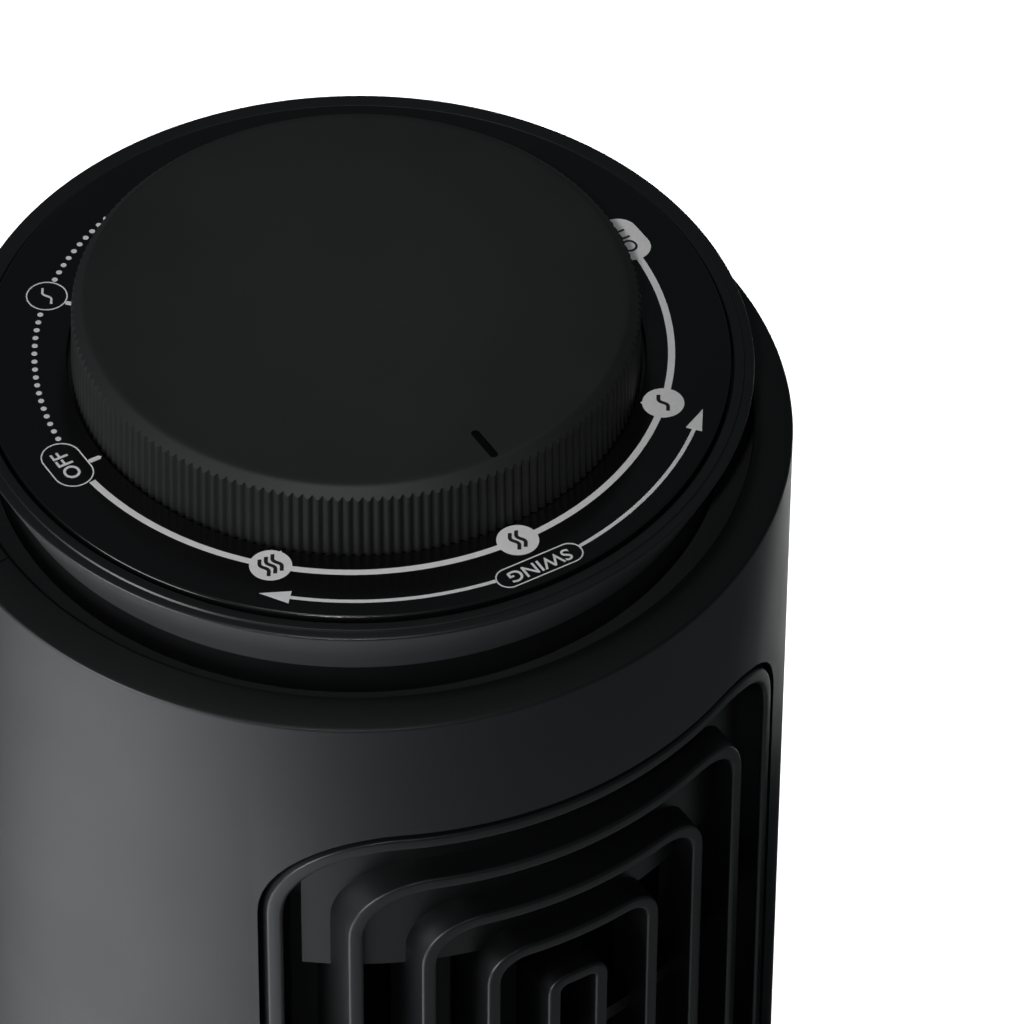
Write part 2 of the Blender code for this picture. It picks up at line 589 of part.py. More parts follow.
def make_harness(tower):
    """Wires from the hollow pivot, up beside the blower, to the rotary switch."""
    x, y = HARNESS_XY
    route = [(0.0, 0.0, 0.0200), (0.0, 0.0, 0.0400), (-0.004, 0.001, 0.0447), (-0.020, 0.006, 0.0460),
             (x + 0.010, y - 0.002, 0.0462), (x + 0.001, y, 0.0490), (x, y, 0.0600), (x, y, 0.3200),
             (x + 0.002, y, 0.3280), (x + 0.014, y - 0.004, 0.3330), (-0.010, 0.002, 0.3345),
             (-0.001, 0.0, 0.3370), (0.0, 0.0, PANEL_TOP - 0.0036 - FIT - 0.0200 - FIT)]
    curve = bpy.data.curves.new("wiring_harness", "CURVE")
    curve.dimensions = "3D"
    spline = curve.splines.new("POLY")
    spline.points.add(len(route) - 1)
    for point, place in zip(spline.points, route):
        point.co = (*place, 1.0)
    curve.bevel_depth = HARNESS_R
    curve.bevel_resolution = 1
    curve.use_fill_caps = True
    curve.materials.append(material("wire_sleeve", (0.02, 0.02, 0.02), 0.7))
    harness = bpy.data.objects.new("wiring_harness", curve)
    bpy.context.collection.objects.link(harness)
    harness.parent = tower


def main():
    for old in list(bpy.data.objects):
        bpy.data.objects.remove(old, do_unlink=True)
    tower = pivot("swing_axis", (0.0, 0.0, 0.0))
    crank = pivot("crank_axis", (0.0, CRANK_OFFSET, 0.0))
    blower = pivot("blower_axis", (0.0, BLOWER_Y, 0.0))
    dial = pivot("dial_axis", (0.0, 0.0, 0.0))
    blower.parent = tower
    dial.parent = tower
    make_base_shell()
    make_base_plate()
    make_feet_and_base_screws()
    make_base_inner_parts()
    make_crank(crank)
    make_turntable(tower)
    make_swing_lever(tower)
    make_front_casing(tower)
    make_rear_casing(tower)
    make_casing_screws(tower)
    make_front_grille(tower)
    make_blower_mounts(tower)
    make_scroll(tower)
    make_blower(blower)
    make_top_cap(tower)
    make_dial_panel(tower)
    make_dial(dial)
    make_harness(tower)


main()
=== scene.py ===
"""The looks of the tower fan: fine shells, knurled dial, printed legend, grille and studio."""
import math

import bmesh
import bpy
from mathutils import Matrix, Vector


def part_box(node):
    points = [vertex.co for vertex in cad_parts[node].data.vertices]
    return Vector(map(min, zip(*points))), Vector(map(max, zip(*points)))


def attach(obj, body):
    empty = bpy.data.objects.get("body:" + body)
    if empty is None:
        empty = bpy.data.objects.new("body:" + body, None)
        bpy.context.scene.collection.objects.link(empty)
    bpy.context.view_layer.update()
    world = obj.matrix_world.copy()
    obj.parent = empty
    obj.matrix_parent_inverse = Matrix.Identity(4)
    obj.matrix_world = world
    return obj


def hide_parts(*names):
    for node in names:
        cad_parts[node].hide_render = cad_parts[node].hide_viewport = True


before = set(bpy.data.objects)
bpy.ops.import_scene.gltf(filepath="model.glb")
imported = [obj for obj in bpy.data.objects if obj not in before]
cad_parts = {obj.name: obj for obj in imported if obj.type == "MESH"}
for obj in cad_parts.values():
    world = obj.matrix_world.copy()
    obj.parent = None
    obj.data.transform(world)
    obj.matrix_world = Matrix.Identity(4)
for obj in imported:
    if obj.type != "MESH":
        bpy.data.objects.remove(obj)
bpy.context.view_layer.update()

# Sizes in metres. Heights are read from the frame, and the rest repeat the CAD's own dimensions.
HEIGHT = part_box("dial_knob")[1].z
CASING_LOW, CASING_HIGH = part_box("front_casing")
CASING_R = -CASING_LOW.y
CASING_BOTTOM = CASING_LOW.z
TOP_RISE = 0.0010
CASING_TOP = CASING_HIGH.z - TOP_RISE
CASING_WALL = 0.0025
RING_INNER_R = 0.0682
SPLIT_HALF_ANGLE = 0.13

GRILLE_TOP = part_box("front_grille")[1].z
GRILLE_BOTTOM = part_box("front_grille")[0].z
FRAME_WALL = 0.0025
FRAME_EDGE = 0.0006
FRAME_DEPTH = 0.0110
FRAME_HALF_WIDTHS = (0.0505, 0.0394, 0.0282, 0.0172, 0.0060)
FRAME_DROPS = (0.0, 0.0103, 0.0213, 0.0319, 0.0428)
FRAME_CORNERS = (0.0190, 0.0135, 0.0105, 0.0075, 0.0040)
OPENING_CLEARANCE = 0.0013
BACKING_BOTTOM = CASING_TOP - 0.0625
BACKING_R = (0.0681, 0.0696)
BACKING_HALF_ANGLE = 38.5
BAR_R = (0.0635, 0.0690)
BAR_HEIGHT = 0.003
BAR_HALF_ANGLE = 46
BAR_COUNT = 5
FRONT = 270  # degrees about +Z: the fan faces -Y

KNOB_R = 0.0488
KNOB_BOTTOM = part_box("dial_knob")[0].z
KNOB_FLAT_R = 0.0465
KNOB_EDGE_R = 0.0484
CHAMFER_DROP = 0.0019
TEETH = 180
TOOTH_DEPTH = 0.00055

PANEL_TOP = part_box("dial_panel")[1].z
PANEL_R = 0.0640
LIP_R = 0.0680

LABEL_RING_R = 0.0544
LABEL_RING_SHIFT = Vector((0.0, 0.0011))
SWING_RING_R = 0.0603
LABEL_R = 0.0036
TICK_FOOT_R = 0.0498
INK = 0.00003

BASE_R = 0.095
BASE_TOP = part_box("base_shell")[1].z
BASE_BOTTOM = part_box("base_shell")[0].z
SHOULDER_R = 0.077
SKIRT_TOP = 0.014
SHARP_ANGLE = 32


# ---------------------------------------------------------------- materials

def new_material(name):
    material = bpy.data.materials.new(name)
    material.use_nodes = True
    tree = material.node_tree
    return material, tree, tree.nodes["Principled BSDF"]


def noise(tree, scale, detail=4.0, stretch=None):
    """Object-space noise, stretched along an axis where asked."""
    coords = tree.nodes.new("ShaderNodeTexCoord")
    source = coords.outputs["Object"]
    if stretch:
        mapping = tree.nodes.new("ShaderNodeMapping")
        mapping.inputs["Scale"].default_value = stretch
        tree.links.new(source, mapping.inputs["Vector"])
        source = mapping.outputs["Vector"]
    texture = tree.nodes.new("ShaderNodeTexNoise")
    texture.inputs["Scale"].default_value = scale
    texture.inputs["Detail"].default_value = detail
    tree.links.new(source, texture.inputs["Vector"])
    return texture.outputs["Fac"]


def vary_colour(tree, shader, fac, colour, spread):
    ramp = tree.nodes.new("ShaderNodeValToRGB")
    low, high = ramp.color_ramp.elements
    low.position, high.position = 0.3, 0.7
    low.color = (*[c * (1 - spread) for c in colour], 1.0)
    high.color = (*[c * (1 + spread) for c in colour], 1.0)
    tree.links.new(fac, ramp.inputs["Fac"])
    tree.links.new(ramp.outputs["Color"], shader.inputs["Base Color"])


def vary_roughness(tree, shader, fac, low, high):
    spread = tree.nodes.new("ShaderNodeMapRange")
    spread.inputs["From Min"].default_value = 0.3
    spread.inputs["From Max"].default_value = 0.7
    spread.inputs["To Min"].default_value = low
    spread.inputs["To Max"].default_value = high
    tree.links.new(fac, spread.inputs["Value"])
    tree.links.new(spread.outputs["Result"], shader.inputs["Roughness"])


def add_bump(tree, shader, fac, distance, strength):
    bump = tree.nodes.new("ShaderNodeBump")
    bump.inputs["Distance"].default_value = distance
    bump.inputs["Strength"].default_value = strength
    tree.links.new(fac, bump.inputs["Height"])
    tree.links.new(bump.outputs["Normal"], shader.inputs["Normal"])


def moulded(name, colour, roughness, grain=2600.0, depth=0.00003, spread=0.08, specular=0.5):
    """Moulded plastic: faint mottling, uneven sheen and a fine spark-eroded grain."""
    material, tree, shader = new_material(name)
    shader.inputs["Specular IOR Level"].default_value = specular
    vary_colour(tree, shader, noise(tree, 60.0), colour, spread)
    vary_roughness(tree, shader, noise(tree, 25.0, 6.0), roughness * 0.9, roughness * 1.1)
    add_bump(tree, shader, noise(tree, grain, 2.0), depth, 0.25)
    return material


def gloss_black():
    material, tree, shader = new_material("gloss_black")
    vary_colour(tree, shader, noise(tree, 40.0), (0.0030, 0.0030, 0.0032), 0.1)
    vary_roughness(tree, shader, noise(tree, 30.0, 6.0), 0.20, 0.25)
    return material


def brushed(name, colour, roughness, stretch=(8.0, 8.0, 900.0)):
    material, tree, shader = new_material(name)
    shader.inputs["Metallic"].default_value = 1.0
    lines = noise(tree, 30.0, 6.0, stretch)
    vary_colour(tree, shader, lines, colour, 0.12)
    vary_roughness(tree, shader, lines, roughness * 0.75, roughness * 1.25)
    add_bump(tree, shader, lines, 0.00002, 0.3)
    return material


def ink(name, colour):
    material, tree, shader = new_material(name)
    vary_colour(tree, shader, noise(tree, 900.0, 6.0), colour, 0.04)
    vary_roughness(tree, shader, noise(tree, 200.0), 0.45, 0.6)
    return material


def paper_floor():
    material, tree, shader = new_material("paper_floor")
    vary_colour(tree, shader, noise(tree, 3.0), (0.86, 0.86, 0.86), 0.004)
    shader.inputs["Roughness"].default_value = 0.9
    return material


CASING = moulded("casing_charcoal", (0.0080, 0.0090, 0.0097), 0.40)
# Painted shade: a darker, less glossy copy of the casing plastic, for the up-facing top ring of the same
# moulding.
RING_PAINTED_SHADE = moulded("ring_painted_shade", (0.0055, 0.0058, 0.0062), 0.50, specular=0.3)
CAP = moulded("cap_charcoal", (0.0080, 0.0084, 0.0088), 0.34)
GRILLE = moulded("grille_black", (0.0085, 0.0088, 0.0092), 0.36)
DIAL = moulded("dial_black", (0.0130, 0.0132, 0.0134), 0.55, depth=0.00004, specular=0.3)
RECESS = moulded("recess_black", (0.020, 0.021, 0.022), 0.90, grain=1500.0, depth=0.00020, specular=0.2)
FLAG = moulded("flag_cloth", (0.045, 0.058, 0.062), 0.90, grain=900.0, specular=0.1)
# Painted shade: near-black for the pointer groove's faces, far darker than the knob plastic it is cut in.
GROOVE_PAINTED_SHADE = moulded("groove_painted_shade", (0.0010, 0.0010, 0.0010), 0.90, specular=0.1)
# Painted reflection: a far lighter grey for the cap's down-facing wall, in place of the lit floor it
# reflects. The cap is one charcoal moulding.
CAP_WALL_PAINTED_REFLECTION = moulded("cap_wall_painted_reflection", (0.062, 0.065, 0.067), 0.38)
INNER = moulded("inner_black", (0.018, 0.019, 0.020), 0.55, grain=1800.0)
RUBBER = moulded("rubber_black", (0.012, 0.012, 0.012), 0.80, grain=1200.0, depth=0.00008)
SLIDE = moulded("slide_natural", (0.58, 0.57, 0.54), 0.38)
CAPACITOR = moulded("capacitor_case", (0.70, 0.70, 0.66), 0.45)
SLEEVE = moulded("wire_sleeve", (0.015, 0.015, 0.016), 0.65, grain=900.0, depth=0.00010)
STEEL = brushed("brushed_steel", (0.50, 0.50, 0.51), 0.32)
ZINC = brushed("zinc_screw", (0.42, 0.42, 0.44), 0.38, (300.0, 300.0, 300.0))
PANEL = gloss_black()
LIGHT_INK = ink("legend_light", (0.80, 0.785, 0.79))
DARK_INK = ink("legend_dark", (0.006, 0.006, 0.006))


# ---------------------------------------------------------------- mesh tools

def finish(name, bm, material, body, replaced=None, sharp=SHARP_ANGLE):
    """Weld, orient, shade and name a piece, and let it ride on its body."""
    bmesh.ops.remove_doubles(bm, verts=bm.verts, dist=1e-7)
    bmesh.ops.recalc_face_normals(bm, faces=bm.faces)
    mesh = bpy.data.meshes.new(name)
    bm.to_mesh(mesh)
    bm.free()
    mesh.materials.append(material)
    mesh.shade_smooth()
    mesh.set_sharp_from_angle(angle=math.radians(sharp))
    piece = bpy.data.objects.new(name, mesh)
    bpy.context.collection.objects.link(piece)
    if body:
        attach(piece, body)
    if replaced:
        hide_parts(replaced)
    return piece


def arc(centre, radii, start, end, steps):
    points = []
    for i in range(steps + 1):
        a = math.radians(start + (end - start) * i / steps)
        points.append((centre[0] + radii[0] * math.cos(a), centre[1] + radii[1] * math.sin(a)))
    return points


def fillet(corner, radius, start, end, steps=4):
    """Round arc about the point that lies inside a corner of a profile."""
    return arc(corner, (radius, radius), start, end, steps)


def add_loft(bm, loops, closed_rows=True, closed_loop=True):
    """Quads between loops of equally many points. Rows and loops may each join up."""
    rows = [[bm.verts.new(p) for p in loop] for loop in loops]
    row_pairs = list(zip(rows, rows[1:]))
    if closed_rows:
        row_pairs.append((rows[-1], rows[0]))
    count = len(rows[0])
    for a, b in row_pairs:
        for i in range(count if closed_loop else count - 1):
            j = (i + 1) % count
            bm.faces.new((a[i], a[j], b[j], b[i]))
    return rows


def add_turned(bm, profile, steps, start=0.0, sweep=360.0):
    """Turn a closed (radius, height) profile about Z. A part turn gets flat ends."""
    full = sweep >= 360.0
    count = steps if full else steps + 1
    loops = []
    for i in range(count):
        a = math.radians(start + sweep * i / steps)
        loops.append([(r * math.cos(a), r * math.sin(a), z) for r, z in profile])
    rows = add_loft(bm, loops, closed_rows=full)
    if not full:
        bm.faces.new(rows[0])
        bm.faces.new(rows[-1])


def turned(name, profile, material, body, slot, replaced=None, steps=256, **part_turn):
    bm = bmesh.new()
    add_turned(bm, profile, steps, **part_turn)
    return finish(name, bm, material, body, replaced)


def add_prism(bm, outline, direction, to_point):
    base = bm.faces.new([bm.verts.new(to_point(a, b)) for a, b in outline])
    top = bmesh.ops.extrude_face_region(bm, geom=[base], use_keep_orig=True)
    moved = [v for v in top["geom"] if isinstance(v, bmesh.types.BMVert)]
    bmesh.ops.translate(bm, verts=moved, vec=direction)


def cut_away(target, bm):
    """Subtract the closed shapes in bm from the target, and apply it."""
    cutter = finish(target.name + "_cutter", bm, target.data.materials[0], None)
    modifier = target.modifiers.new("cut", "BOOLEAN")
    modifier.operation = "DIFFERENCE"
    modifier.solver = "EXACT"
    modifier.object = cutter
    bpy.context.view_layer.update()
    evaluated = target.evaluated_get(bpy.context.evaluated_depsgraph_get())
    mesh = bpy.data.meshes.new_from_object(evaluated)
    target.modifiers.clear()
    target.data = mesh
    mesh.shade_smooth()
    mesh.set_sharp_from_angle(angle=math.radians(SHARP_ANGLE))
    bpy.data.objects.remove(cutter)


def paint(piece, material, chosen):
    """Give some of a piece's faces another material. They are chosen by centre and normal."""
    piece.data.materials.append(material)
    index = len(piece.data.materials) - 1
    for face in piece.data.polygons:
        if chosen(face.center, face.normal):
            face.material_index = index


# Picks the casing's up-facing top ring faces, which get the painted shade.
def on_painted_shade_ring(centre, normal):
    return centre.z > CASING_TOP - 0.0002 and normal.z > 0.5


def rounded_outline(half_width, top, bottom, radius, rail_steps, corner_steps=12):
    """Anticlockwise rounded rectangle in (x, z), with its level sides cut into steps."""
    edge = half_width - radius
    rail = [edge - 2 * edge * i / rail_steps for i in range(1, rail_steps)]
    return (arc((edge, top - radius), (radius, radius), 0, 90, corner_steps) + [(x, top) for x in rail]
            + arc((-edge, top - radius), (radius, radius), 90, 180, corner_steps)
            + arc((-edge, bottom + radius), (radius, radius), 180, 270, corner_steps)
            + [(-x, bottom) for x in rail]
            + arc((edge, bottom + radius), (radius, radius), 270, 360, corner_steps))


# ---------------------------------------------------------------- casing

def casing_profile():
    """Outer wall with a small round at the top and bottom edges, and the inward top ring."""
    inner_r = CASING_R - CASING_WALL
    edge = 0.0007
    return (fillet((CASING_R - edge, CASING_BOTTOM + edge), edge, 270, 360)
            + fillet((CASING_R - edge, CASING_TOP - edge), edge, 0, 84, 6)
            + fillet((RING_INNER_R + 0.0003, CASING_TOP + TOP_RISE - 0.0003), 0.0003, 90, 180, 3)
            + [(RING_INNER_R, CASING_TOP - 0.0010), (inner_r, CASING_TOP - 0.0022), (inner_r, CASING_BOTTOM)])


def make_front_casing():
    shell = turned("casing_front_shell", casing_profile(), CASING, "tower", "charcoal_plastic",
                   "front_casing", steps=120, start=180 + SPLIT_HALF_ANGLE, sweep=180 - 2 * SPLIT_HALF_ANGLE)
    gap = OPENING_CLEARANCE
    opening = rounded_outline(FRAME_HALF_WIDTHS[0] + gap, GRILLE_TOP + gap, GRILLE_BOTTOM - gap,
                              FRAME_CORNERS[0] + gap, 2)
    cut = bmesh.new()
    add_prism(cut, opening, (0.0, 0.06, 0.0), lambda a, b: (a, -CASING_R - 0.01, b))
    cut_away(shell, cut)
    # Painted shade on the top ring: its faces take the darker copy of the casing plastic.
    paint(shell, RING_PAINTED_SHADE, on_painted_shade_ring)


def slot_outline(half_width, low, high, steps=6):
    return (arc((0.0, high - half_width), (half_width, half_width), 0, 180, steps)
            + arc((0.0, low + half_width), (half_width, half_width), 180, 360, steps))


def make_rear_casing():
    shell = turned("casing_rear_shell", casing_profile(), CASING, "tower", "charcoal_plastic", "rear_casing",
                   steps=120, start=SPLIT_HALF_ANGLE, sweep=180 - 2 * SPLIT_HALF_ANGLE)
    cut = bmesh.new()
    slot_bottom, slot_top, rows = 0.088, 0.296, 3
    row_pitch = (slot_top - slot_bottom) / rows
    for row in range(rows):
        low = slot_bottom + row * row_pitch + 0.004
        outline = slot_outline(0.0024, low, low + row_pitch - 0.008)
        for step in range(-5, 6):
            turn = Matrix.Rotation(math.radians(90 + 9 * step), 3, "Z")
            add_prism(cut, outline, turn @ Vector((0.011, 0.0, 0.0)),
                      lambda a, b, t=turn: t @ Vector((CASING_R - 0.006, a, b)))
    for number in range(1, 5):
        low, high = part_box(f"casing_screw_{number}")
        middle = (low + high) / 2
        angle = math.atan2(middle.y, middle.x)
        turn = Matrix.Rotation(angle, 3, "Z")
        circle = arc((0.0, middle.z), (0.0036, 0.0036), 0, 345, 23)
        add_prism(cut, circle, turn @ Vector((0.012, 0.0, 0.0)),
                  lambda a, b, t=turn: t @ Vector((CASING_R - 0.006, a, b)))
    cut_away(shell, cut)
    # Painted shade on the top ring: its faces take the darker copy of the casing plastic.
    paint(shell, RING_PAINTED_SHADE, on_painted_shade_ring)


# ---------------------------------------------------------------- grille

def box_section(radii, low, high):
    inner, outer = radii
    return [(inner, low), (outer, low), (outer, high), (inner, high)]


def frame_section(slope):
    """Across one frame's wall, as (inset, depth): true rounds where its front meets both sides.

    The front leans back towards the outside by the slope angle, and depth is measured from it.
    """
    reach = FRAME_EDGE / math.cos(slope)
    steps = 5
    outer, inner = [], []
    for i in range(steps + 1):
        a = -(math.pi / 2 - slope) * i / steps
        outer.append((FRAME_EDGE * (1 - math.cos(a)), reach * (1 + math.sin(a - slope))))
        a = -(math.pi / 2 + slope) * (1 - i / steps)
        inner.append((FRAME_WALL - FRAME_EDGE * (1 - math.cos(a)), reach * (1 + math.sin(a + slope))))
    return [(0.0, FRAME_DEPTH)] + outer + inner + [(FRAME_WALL, FRAME_DEPTH)]


def make_grille():
    """Nested frames with rounded front edges, the web behind their tops, and the tie bars."""
    bm = bmesh.new()
    for number, half in enumerate(FRAME_HALF_WIDTHS):
        high = GRILLE_TOP - FRAME_DROPS[number]
        low = GRILLE_BOTTOM + FRAME_DROPS[number]
        corner = FRAME_CORNERS[number]
        rail_steps = max(4, 40 - 8 * number)
        outer = rounded_outline(half, high, low, corner, rail_steps)
        inner = rounded_outline(half - FRAME_WALL, high - FRAME_WALL, low + FRAME_WALL, corner - FRAME_WALL,
                                rail_steps)
        rings = []
        for (x, z), (inner_x, inner_z) in zip(outer, inner):
            across = ((inner_x - x) / FRAME_WALL, (inner_z - z) / FRAME_WALL)
            slope = math.atan(-across[0] * x / math.sqrt(CASING_R ** 2 - x * x))
            ring = []
            for inset, depth in frame_section(slope):
                side = x + across[0] * inset
                front = math.sqrt(CASING_R ** 2 - side * side)
                ring.append((side, depth - front, z + across[1] * inset))
            rings.append(ring)
        add_loft(bm, rings)
    finish("grille_frames", bm, GRILLE, "tower", "front_grille", sharp=40)
    backing = box_section(BACKING_R, BACKING_BOTTOM, GRILLE_TOP - 0.0012)
    turned("grille_backing", backing, GRILLE, "tower", "grille_plastic", steps=60,
           start=FRONT - BACKING_HALF_ANGLE, sweep=2 * BACKING_HALF_ANGLE)
    bars = bmesh.new()
    first = GRILLE_BOTTOM + 0.030
    last = BACKING_BOTTOM - 0.030
    for i in range(BAR_COUNT):
        low = first + (last - first) * i / (BAR_COUNT - 1) - BAR_HEIGHT / 2
        add_turned(bars, box_section(BAR_R, low, low + BAR_HEIGHT), 48, start=FRONT - BAR_HALF_ANGLE,
                   sweep=2 * BAR_HALF_ANGLE)
    finish("grille_tie_bars", bars, GRILLE, "tower")


# ---------------------------------------------------------------- cap, panel and dial

def make_top_cap():
    top = CASING_TOP
    seat = PANEL_TOP - 0.0039
    foot_r = 0.0627
    profile = ([(0.0605, top - 0.0060), (0.0625, top - 0.0060), (foot_r - 0.0001, top + 0.0022),
                (foot_r, top + 0.0025)]
               + fillet((LIP_R - 0.00035, top + 0.0140), 0.00035, -24, 88, 5)
               + [(0.0664, top + 0.0144)] + fillet((0.0661, top + 0.01445), 0.0003, 60, 100, 2)
               + fillet((0.0648, top + 0.0144), 0.0004, 88, 180, 4)
               + [(0.0644, seat), (0.0560, seat), (0.0560, seat - 0.0020), (0.0632, seat - 0.0020),
                  (0.0605, top + 0.0024)])
    cap = turned("cap_shell", profile, CAP, "tower", "charcoal_plastic", "top_cap", steps=360)

    # Picks the cap's down-facing wall faces, which get the painted reflection.
    def on_painted_reflection_wall(centre, normal):
        return centre.xy.length > foot_r + 0.0003 and centre.z < top + 0.0136 and normal.z < -0.2

    # Painted reflection on the cap wall: a lighter grey in place of the lit floor it mirrors.
    paint(cap, CAP_WALL_PAINTED_REFLECTION, on_painted_reflection_wall)
    neck = box_section((0.0631, 0.0720), top - 0.0055, top - 0.0030)
    turned("neck_floor", neck, RECESS, "tower", "recess_black", "neck_ring")


def make_panel():
    under = PANEL_TOP - 0.0036
    moat = KNOB_BOTTOM - 0.0005
    profile = ([(0.0050, under), (PANEL_R, under), (PANEL_R, PANEL_TOP - 0.0004)]
               + fillet((PANEL_R - 0.0004, PANEL_TOP - 0.0004), 0.0004, 10, 90, 5)
               + fillet((KNOB_R + 0.0008, PANEL_TOP - 0.0002), 0.0002, 90, 175, 3)
               + [(KNOB_R + 0.0006, moat), (0.0050, moat)])
    turned("dial_deck", profile, PANEL, "tower", "gloss_panel", "dial_panel", steps=360)


def tooth_inset(angle):
    """How far the knurl lies inside its outer radius: round ridges with narrow valleys."""
    return TOOTH_DEPTH * (0.5 - 0.5 * math.cos(TEETH * angle)) ** 1.6


def make_knob():
    columns = TEETH * 8
    angles = [2 * math.pi * i / columns for i in range(columns)]
    taper = CHAMFER_DROP / (KNOB_EDGE_R - KNOB_FLAT_R)

    def ring(radius, height, knurled=0.0):
        points = []
        for a in angles:
            r = radius - knurled * tooth_inset(a)
            points.append((r * math.cos(a), r * math.sin(a), height))
        return points

    def chamfer_edge(drop):
        points = []
        for a in angles:
            r = KNOB_EDGE_R - tooth_inset(a)
            z = HEIGHT - (r - KNOB_FLAT_R) * taper - drop
            points.append((r * math.cos(a), r * math.sin(a), z))
        return points

    inner_r = KNOB_R - 0.0030
    underside = HEIGHT - 0.0035
    loops = [ring(0.0452, HEIGHT), ring(KNOB_FLAT_R - 0.0003, HEIGHT), ring(KNOB_FLAT_R, HEIGHT - 0.00008),
             ring(KNOB_FLAT_R + 0.0003, HEIGHT - 0.00034), chamfer_edge(0.0), chamfer_edge(0.00025),
             ring(KNOB_R - 0.0002, KNOB_BOTTOM + 0.005, 1.0), ring(KNOB_R, KNOB_BOTTOM + 0.0004, 1.0),
             ring(KNOB_R - 0.0004, KNOB_BOTTOM, 1.0), ring(inner_r, KNOB_BOTTOM), ring(inner_r, underside)]
    bm = bmesh.new()
    rows = add_loft(bm, loops, closed_rows=False)
    bm.faces.new(rows[0])
    bm.faces.new(rows[-1])
    knob = finish("knurled_dial", bm, DIAL, "dial", "dial_knob", sharp=30)
    groove = bmesh.new()
    half, depth, tip, tail = 0.00075, 0.0008, -0.0454, -0.0395
    outline = arc((0.0, tail), (half, half), 0, 180, 10) + arc((0.0, tip), (half, half), 180, 360, 10)
    add_prism(groove, outline, (0.0, 0.0, 0.002), lambda a, b: (a, b, HEIGHT - depth))
    cut_away(knob, groove)

    # Picks the pointer groove's faces, which get the painted shade.
    def in_painted_shade_groove(centre, normal):
        return (abs(centre.x) < half + 0.0001 and tip - 0.0009 < centre.y < tail + 0.0009
                and HEIGHT - depth - 0.0001 < centre.z < HEIGHT - 0.0002)

    # Painted shade in the pointer groove.
    paint(knob, GROOVE_PAINTED_SHADE, in_painted_shade_groove)


# ---------------------------------------------------------------- printed legend

def polar(radius, angle):
    a = math.radians(angle)
    return Vector((radius * math.cos(a), radius * math.sin(a)))


def label_spot(angle, outwards=0.0):
    """A place on the ring of labels, whose centre lies a little behind the dial's."""
    return polar(LABEL_RING_R + outwards, angle) + LABEL_RING_SHIFT


def add_print(bm, outline, level):
    z = PANEL_TOP + level * INK
    add_prism(bm, outline, (0.0, 0.0, INK), lambda a, b: (a, b, z))


def add_ring_print(bm, outer, inner, level):
    z = PANEL_TOP + level * INK
    add_loft(bm, [[(*p, z) for p in outer], [(*p, z + INK) for p in outer],
                  [(*p, z + INK) for p in inner], [(*p, z) for p in inner]])


def arc_band(radius, width, start, end, steps=90, centre=(0.0, 0.0)):
    outer = arc(centre, (radius + width / 2,) * 2, start, end, steps)
    inner = arc(centre, (radius - width / 2,) * 2, end, start, steps)
    return outer + inner


def pill(centre, length, width, angle, steps=16):
    """Stadium outline about a centre, long along the given angle."""
    half = width / 2
    reach = length / 2 - half
    shape = arc((reach, 0.0), (half, half), -90, 90, steps) + arc((-reach, 0.0), (half, half), 90, 270, steps)
    turn = Matrix.Rotation(math.radians(angle), 2)
    return [tuple(centre + turn @ Vector(p)) for p in shape]


def add_waves(bm, centre, count, level, stroke):
    """Level wave strokes as the dial's words read, along +Y, stacked along X."""
    reach, swell, spacing = 0.0021, 0.00034, 0.00125
    steps = 20
    for row in range(count):
        x = centre.x + (row - (count - 1) / 2) * spacing
        line = []
        for i in range(steps + 1):
            t = 2 * i / steps - 1
            line.append(Vector((x - swell * math.sin(1.35 * math.pi * t), centre.y + reach * t)))
        left, right = [], []
        for i, point in enumerate(line):
            run = (line[min(i + 1, steps)] - line[max(i - 1, 0)]).normalized()
            side = Vector((-run.y, run.x)) * stroke / 2
            left.append(tuple(point + side))
            right.append(tuple(point - side))
        add_print(bm, left + right[::-1], level)


def make_words(name, words, centre, angle, size, material, level):
    text = bpy.data.curves.new(name, "FONT")
    text.body = words
    text.size = size
    text.align_x = "CENTER"
    text.align_y = "CENTER"
    text.extrude = INK / 2
    text.offset = 0.00004
    maker = bpy.data.objects.new(name + "_text", text)
    bpy.context.collection.objects.link(maker)
    bpy.context.view_layer.update()
    mesh = bpy.data.meshes.new_from_object(maker.evaluated_get(bpy.context.evaluated_depsgraph_get()))
    bpy.data.objects.remove(maker)
    place = Matrix.Translation((*centre, PANEL_TOP + (level + 0.5) * INK))
    mesh.transform(place @ Matrix.Rotation(math.radians(angle), 4, "Z"))
    mesh.materials.clear()
    mesh.materials.append(material)
    piece = bpy.data.objects.new(name, mesh)
    bpy.context.collection.objects.link(piece)
    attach(piece, "tower")


